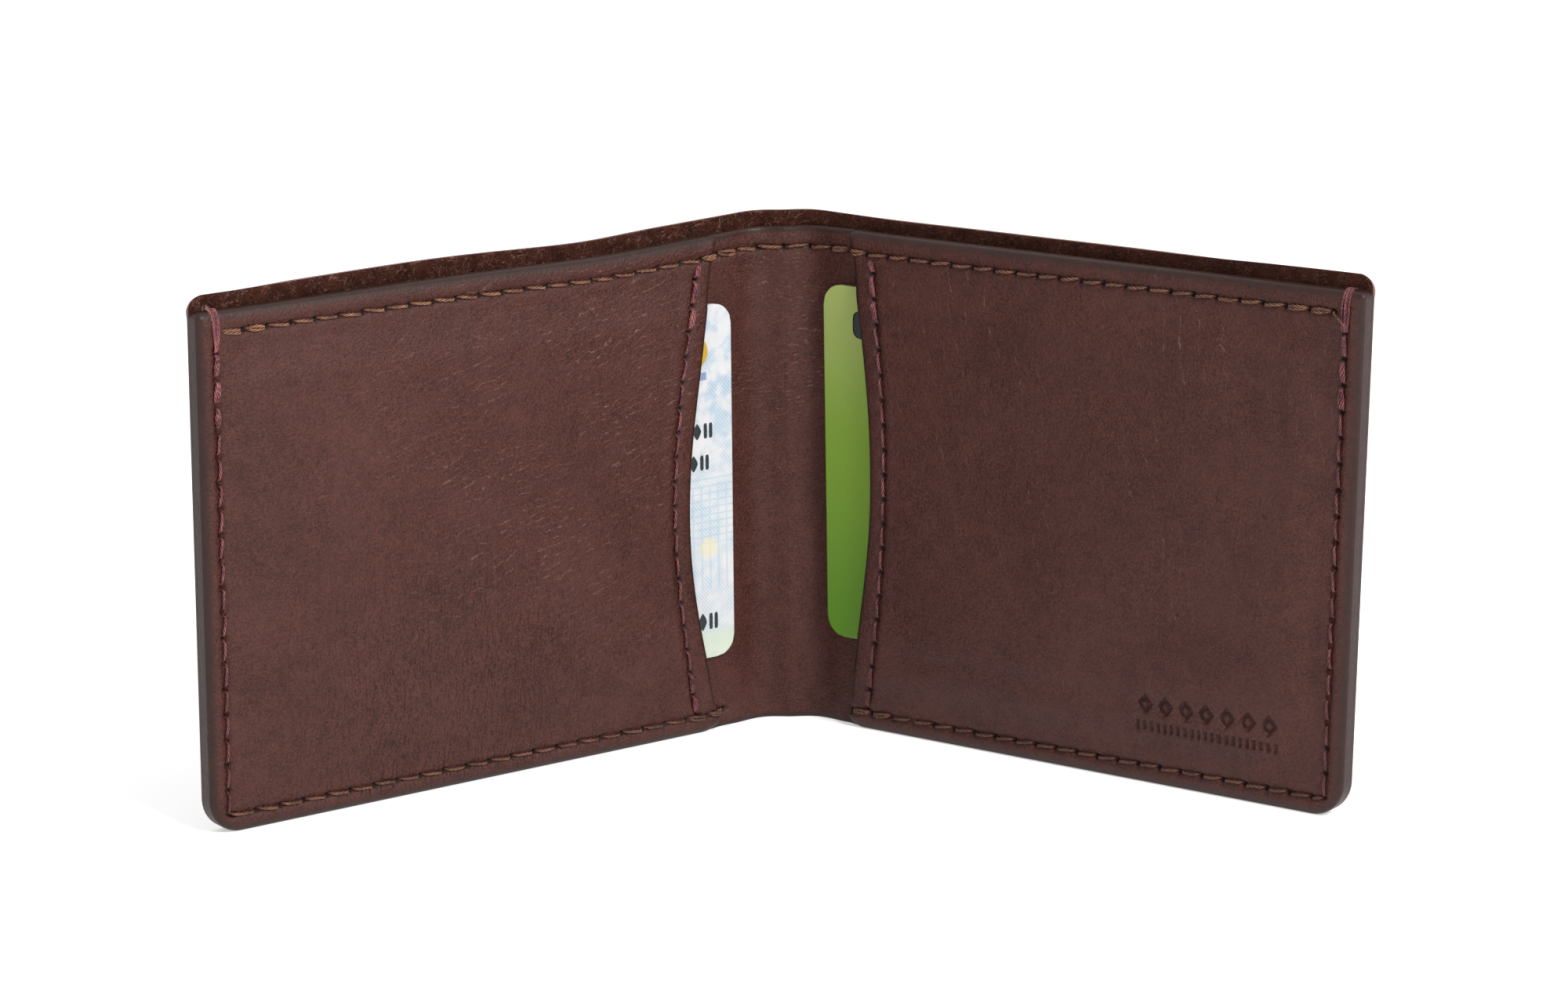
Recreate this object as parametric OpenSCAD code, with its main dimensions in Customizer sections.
// Bifold card wallet of stitched leather, standing half open on its lower edges.
// Millimetres, +Z up. The spine is at the back (+Y) and both leaves come forward (-Y).
// The origin is at the centre of the footprint, on the surface that the wallet stands on.
//
// Each leaf is drawn flat in its own frame and then folded about its hinge line:
//   along  (drawn on X)  distance from the middle of the spine, towards the leaf's outer end
//   depth  (drawn on -Y) distance from the middle of the shell, towards the inside of the fold
//   height (drawn on Z)

/* [Fold] */
// Angle of each leaf away from lying flat, in degrees
leaf_angle = 36.3; // [20:0.1:60]
// Distance of each hinge line from the middle of the spine
hinge_offset = 3.9; // [3.4:0.1:4.4]
// Half of the flexible strip of the spine, measured flat
bend_half = 7.8; // [7:0.1:8.2]

/* [Leather panels] */
// Length of one leaf from the middle of the spine to its outer end, measured flat
half_length = 99.6; // [99.4:0.1:106]
// Height of the outer shell
shell_height = 77.6; // [76.5:0.1:82]
// Height of the inner liner and the pockets
inner_height = 75.4; // [74:0.1:76]
// Thickness of the shell
shell_t = 1.3; // [1:0.1:1.6]
// Thickness of the liner
liner_t = 1.1; // [0.8:0.1:1.3]
// Thickness of a pocket front
pocket_t = 1.1; // [0.8:0.1:1.4]
// Thickness of a pocket's lining
lining_t = 0.3; // [0.2:0.05:0.4]
// Radius of a leaf's lower outer corner
low_corner_r = 5; // [3:0.5:7]
// Radius of a leaf's upper outer corner
high_corner_r = 1.2; // [0.5:0.1:2]

/* [Spaces] */
// Clear depth of the banknote compartment between shell and liner
note_gap = 0.4; // [0.35:0.05:0.6]
// Clear depth of a card slot
slot_gap = 1.0; // [0.9:0.05:1.2]
// Width of the closed border round a card slot
slot_border = 4.9; // [4.7:0.1:5.2]
// Distance of the closed end of a card slot from the leaf's outer end
slot_end = 3.8; // [3.7:0.1:4]

/* [Pocket mouths] */
// Distance of a pocket's inner corners from the middle of the spine, measured flat
mouth_corner = 12.8; // [12.4:0.1:15]
// How far the left mouth's edge curves in at mid height
left_mouth_sag = 5.7; // [2:0.1:6]
// How far the right mouth's edge curves in at mid height
right_mouth_sag = 4.2; // [2:0.1:6]

/* [Cards] */
// Length of a card
card_l = 85.6; // [85.5:0.1:85.7]
// Height of a card
card_h = 53.98; // [53.9:0.02:54.1]
// Thickness of a card
card_t = 0.76; // [0.7:0.02:0.8]
// Radius of a card's corners
card_r = 3.18; // [2.9:0.02:3.4]
// Inner edge of the left card from the middle of the spine, measured flat
left_card_along = 10.0; // [9:0.1:10]
// Inner edge of the right card from the middle of the spine, measured flat
right_card_along = 6.9; // [6.6:0.1:9]
// Height of the left card's lower edge
left_card_low = 11.4; // [6:0.1:16]
// Height of the right card's lower edge
right_card_low = 13.7; // [6:0.1:16]

/* [Stitching] */
// Distance from one stitch to the next
pitch = 3.85; // [3.5:0.05:4.5]
// Length of one stitch
stitch_l = 3.1; // [2.5:0.1:3.3]
// Width of a stitch
thread_w = 0.6; // [0.4:0.05:0.7]
// How far a stitch stands proud of the leather
thread_h = 0.3; // [0.2:0.05:0.33]
// Distance of the top seam from the liner's top edge
top_inset = 3.0; // [2.6:0.1:3.2]
// Distance of the other seams from the edge that they follow
edge_inset = 2.7; // [2.5:0.1:2.9]

/* [Hidden] */

$fn = 96;
mouth_fn = 180;   // a mouth is a short stretch of a large circle
over = 1;         // how far a cut runs past the face that it opens
lining_wall = 0.2;
pocket_wall = 0.3;
note_wall = 0.4;
liner_lift = 0.4; // the liner's spine strip stays clear of the surface below
LEFT = -1;
RIGHT = 1;

// Depths of the layers, from the outside of the wallet to the inside
shell_out = -shell_t / 2;
shell_in = shell_t / 2;
liner_in = shell_in + liner_t;
lining_in = liner_in + lining_t;
pocket_in = lining_in + pocket_t;
card_out = liner_in + (slot_gap - card_t) / 2;

// The hinge line lies inside the liner, so the liner bends without stretching
hinge_depth = liner_in;

// The spine's arc touches both leaves where its flexible strip ends
arc_k = (hinge_offset + (bend_half - hinge_offset) * cos(leaf_angle)) / sin(leaf_angle);
arc_y = -hinge_depth - (bend_half - hinge_offset) * sin(leaf_angle) - arc_k * cos(leaf_angle);
function arc_r(depth) = arc_k + hinge_depth - depth;

// The footprint runs from the back of the spine to the inner corners of the leaves' outer ends
back_y = arc_y + arc_r(shell_out - note_gap);
front_y = -hinge_depth - (half_length - hinge_offset) * sin(leaf_angle)
    - (pocket_in - hinge_depth) * cos(leaf_angle);
centre_y = (back_y + front_y) / 2;

// A pocket mouth's edge is part of a circle through its two corners
function mouth_sag(side) = side == LEFT ? left_mouth_sag : right_mouth_sag;
function mouth_r(side) = (pow(inner_height, 2) / 8 + pow(mouth_sag(side), 2) / 2) / mouth_sag(side);
function mouth_centre(side) = mouth_corner + mouth_sag(side) - mouth_r(side);

// The closed end of the card slots, and of the banknote compartment
slot_along = half_length - slot_end;
note_along = half_length - slot_border;

// Seam lines
top_line = inner_height - top_inset;
side_line = half_length - edge_inset;
seam_start = mouth_corner + 0.6;
spine_stitch = seam_start - 0.8 * pitch; // the one stitch of a leaf that is on the liner alone
side_start = edge_inset + 0.6 * pitch;
stitch_count = floor((side_line - seam_start) / pitch);
side_count = floor((inner_height - edge_inset) / pitch);
spine_count = 4;

leather = [0.36, 0.22, 0.19];
suede = [0.30, 0.17, 0.14];
brown_thread = [0.59, 0.43, 0.31];
maroon_thread = [0.49, 0.25, 0.29];

// ---- Placing ----

// Folds a leaf drawn in its flat frame to its place beside the spine
module fold(side) {
    translate([0, -centre_y, 0])
        mirror([side == LEFT ? 1 : 0, 0, 0])
            translate([hinge_offset, -hinge_depth, 0])
                rotate([0, 0, -leaf_angle])
                    translate([-hinge_offset, hinge_depth, 0])
                        children();
}

// Gives a flat outline its thickness, between two depths
module layer(outer, inner) {
    translate([0, -outer, 0])
        rotate([90, 0, 0])
            linear_extrude(inner - outer)
                children();
}

// A strip of the spine, between two depths and two heights
module spine_strip(outer, inner, low, high) {
    translate([0, arc_y - centre_y, 0])
        rotate([0, 0, 90 - leaf_angle])
            rotate_extrude(angle = 2 * leaf_angle)
                translate([arc_r(inner), low])
                    square([inner - outer, high - low]);
}

// ---- Outlines, drawn with along on X and height on Y ----

module box_2d(along_0, along_1, low, high) {
    translate([along_0, low])
        square([along_1 - along_0, high - low]);
}

// What a round corner leaves out of a square one, at a leaf's outer end
module corner_waste(along, height, r, up) {
    difference() {
        if (up)
            box_2d(along - r, along + over, height - r, height + over);
        else
            box_2d(along - r, along + over, height - over, height + r);
        translate([along - r, height + (up ? -r : r)])
            circle(r);
    }
}

// One leaf of a panel, with its outer corners rounded
module leaf_2d(height) {
    difference() {
        box_2d(bend_half, half_length, 0, height);
        corner_waste(half_length, 0, low_corner_r, false);
        corner_waste(half_length, height, high_corner_r, true);
    }
}

// A pocket's outline, with its curved mouth
module pocket_2d(side) {
    difference() {
        box_2d(mouth_corner, half_length, 0, inner_height);
        corner_waste(half_length, 0, low_corner_r, false);
        corner_waste(half_length, inner_height, high_corner_r, true);
        translate([mouth_centre(side), inner_height / 2])
            circle(mouth_r(side), $fn = mouth_fn);
    }
}

// The room over a card slot, grown on its closed sides
module slot_2d(grow) {
    box_2d(
        mouth_corner - over, slot_along + grow,
        slot_border - grow, inner_height - slot_border + grow
    );
}

// The room of the banknote compartment, which runs past its open sides, the top and the spine
module note_2d(grow, past) {
    box_2d(bend_half - past, note_along + grow, slot_border - grow, shell_height + past);
}

module card_2d() {
    difference() {
        square([card_l, card_h]);
        for (i = [0, 1], j = [0, 1])
            translate([i * card_l, j * card_h])
                mirror([i, 0])
                    mirror([0, j])
                        difference() {
                            translate([-over, -over])
                                square(card_r + over);
                            translate([card_r, card_r])
                                circle(card_r);
                        }
    }
}

// ---- Leather panels ----

// The shell bows outwards where the banknote compartment is
module shell_leaf(side) {
    color(leather)
        fold(side)
            difference() {
                union() {
                    layer(shell_out, shell_in)
                        leaf_2d(shell_height);
                    layer(shell_out - note_gap, shell_out)
                        note_2d(note_wall, 0);
                }
                layer(shell_in - note_gap, shell_in + over)
                    note_2d(0, over);
            }
}

module liner_leaf(side) {
    color(leather)
        fold(side)
            layer(shell_in, liner_in)
                leaf_2d(inner_height);
}

// A panel with a raised field over the card slot, and a flat border that is stitched down
module raised_panel(side, outer, inner, rise, wall_in, wall_out) {
    difference() {
        union() {
            layer(outer, inner)
                pocket_2d(side);
            layer(inner, inner + rise)
                intersection() {
                    pocket_2d(side);
                    slot_2d(wall_out);
                }
        }
        layer(outer - over, outer + rise)
            slot_2d(wall_in);
    }
}

module pocket_front(side) {
    color(leather)
        fold(side)
            raised_panel(side, lining_in, pocket_in, slot_gap, lining_wall, lining_wall + pocket_wall);
}

module pocket_lining(side) {
    color(suede)
        fold(side)
            raised_panel(side, liner_in, lining_in, slot_gap, 0, lining_wall);
}

// ---- Cards ----

module card(side, along, low, paint) {
    color(paint)
        fold(side)
            layer(card_out, card_out + card_t)
                translate([along, low])
                    card_2d();
}

// ---- Stitching: each thread shows as a row of short flat-based bars ----

// One bar along X, with its base at y = 0 and its crown towards -Y
module stitch() {
    crown = thread_w / 2;
    translate([-stitch_l / 2, 0, 0])
        rotate([90, 0, 90])
            linear_extrude(stitch_l)
                polygon([
                    [0, -thread_w / 2],
                    [0, thread_w / 2],
                    [-thread_h, crown / 2],
                    [-thread_h, -crown / 2]
                ]);
}

// A stitch on a leaf's inner face, turned in the plane of the leaf
module face_stitch(along, height, depth, turn) {
    translate([along, -depth, height])
        rotate([0, -turn, 0])
            stitch();
}

// A stitch on a face that looks outwards
module back_stitch(along, height, depth, turn) {
    translate([along, -depth, height])
        rotate([0, -turn, 0])
            mirror([0, 1, 0])
                stitch();
}

// The top seam holds pocket and liner, and its back shows inside the banknote compartment
module top_seam_leaf(side) {
    color(brown_thread)
        fold(side) {
            face_stitch(spine_stitch, top_line, liner_in, 0);
            for (i = [0 : stitch_count - 1]) {
                face_stitch(seam_start + (i + 0.5) * pitch, top_line, pocket_in, 0);
                back_stitch(seam_start + (i + 0.5) * pitch, top_line, shell_in, 0);
            }
        }
}

module top_seam_spine() {
    step = pitch / arc_r(liner_in) * 180 / PI;
    color(brown_thread)
        for (i = [0 : spine_count - 1])
            translate([0, arc_y - centre_y, top_line])
                rotate([0, 0, (i - (spine_count - 1) / 2) * step])
                    translate([0, sqrt(pow(arc_r(liner_in), 2) - pow(stitch_l / 2, 2)), 0])
                        stitch();
}

// The bottom seam goes through every layer of a leaf
module bottom_seam_leaf(side) {
    color(brown_thread)
        fold(side) {
            face_stitch(spine_stitch, edge_inset, liner_in, 0);
            for (i = [0 : stitch_count - 1]) {
                face_stitch(seam_start + (i + 0.5) * pitch, edge_inset, pocket_in, 0);
                back_stitch(seam_start + (i + 0.5) * pitch, edge_inset, shell_out, 0);
            }
        }
}

// The side seam closes a leaf's outer end
module side_seam_leaf(side) {
    color(maroon_thread)
        fold(side)
            for (i = [0 : side_count - 1]) {
                face_stitch(side_line, side_start + i * pitch, pocket_in, 90);
                back_stitch(side_line, side_start + i * pitch, shell_out, 90);
            }
}

// The curved seam follows a pocket's mouth and holds its lining
module curve_seam_leaf(side) {
    seam_r = mouth_r(side) + edge_inset;
    step = pitch / seam_r * 180 / PI;
    half = floor((inner_height / 2 - slot_border) / pitch) - 0.5;
    color(maroon_thread)
        fold(side)
            for (i = [-half : half])
                face_stitch(
                    mouth_centre(side) + seam_r * cos(i * step),
                    inner_height / 2 + seam_r * sin(i * step),
                    pocket_in + slot_gap, 90 + i * step
                );
}

// ---- Sub-parts ----

module shell_left() shell_leaf(LEFT);
module shell_right() shell_leaf(RIGHT);
module shell_spine() {
    color(leather)
        spine_strip(shell_out - note_gap, shell_in - note_gap, 0, shell_height);
}

module liner_left() liner_leaf(LEFT);
module liner_right() liner_leaf(RIGHT);
module liner_spine() {
    color(leather)
        spine_strip(shell_in, liner_in, liner_lift, inner_height);
}

module pocket_left() pocket_front(LEFT);
module pocket_right() pocket_front(RIGHT);
module lining_left() pocket_lining(LEFT);
module lining_right() pocket_lining(RIGHT);

module card_left() card(LEFT, left_card_along, left_card_low, [0.85, 0.92, 0.96]);
module card_right() card(RIGHT, right_card_along, right_card_low, [0.45, 0.68, 0.25]);

module top_seam_left() top_seam_leaf(LEFT);
module top_seam_right() top_seam_leaf(RIGHT);
module bottom_seam_left() bottom_seam_leaf(LEFT);
module bottom_seam_right() bottom_seam_leaf(RIGHT);
module side_seam_left() side_seam_leaf(LEFT);
module side_seam_right() side_seam_leaf(RIGHT);
module curve_seam_left() curve_seam_leaf(LEFT);
module curve_seam_right() curve_seam_leaf(RIGHT);

shell_left();
shell_spine();
shell_right();
liner_left();
liner_spine();
liner_right();
pocket_left();
pocket_right();
lining_left();
lining_right();
card_left();
card_right();
top_seam_left();
top_seam_spine();
top_seam_right();
bottom_seam_left();
bottom_seam_right();
side_seam_left();
side_seam_right();
curve_seam_left();
curve_seam_right();
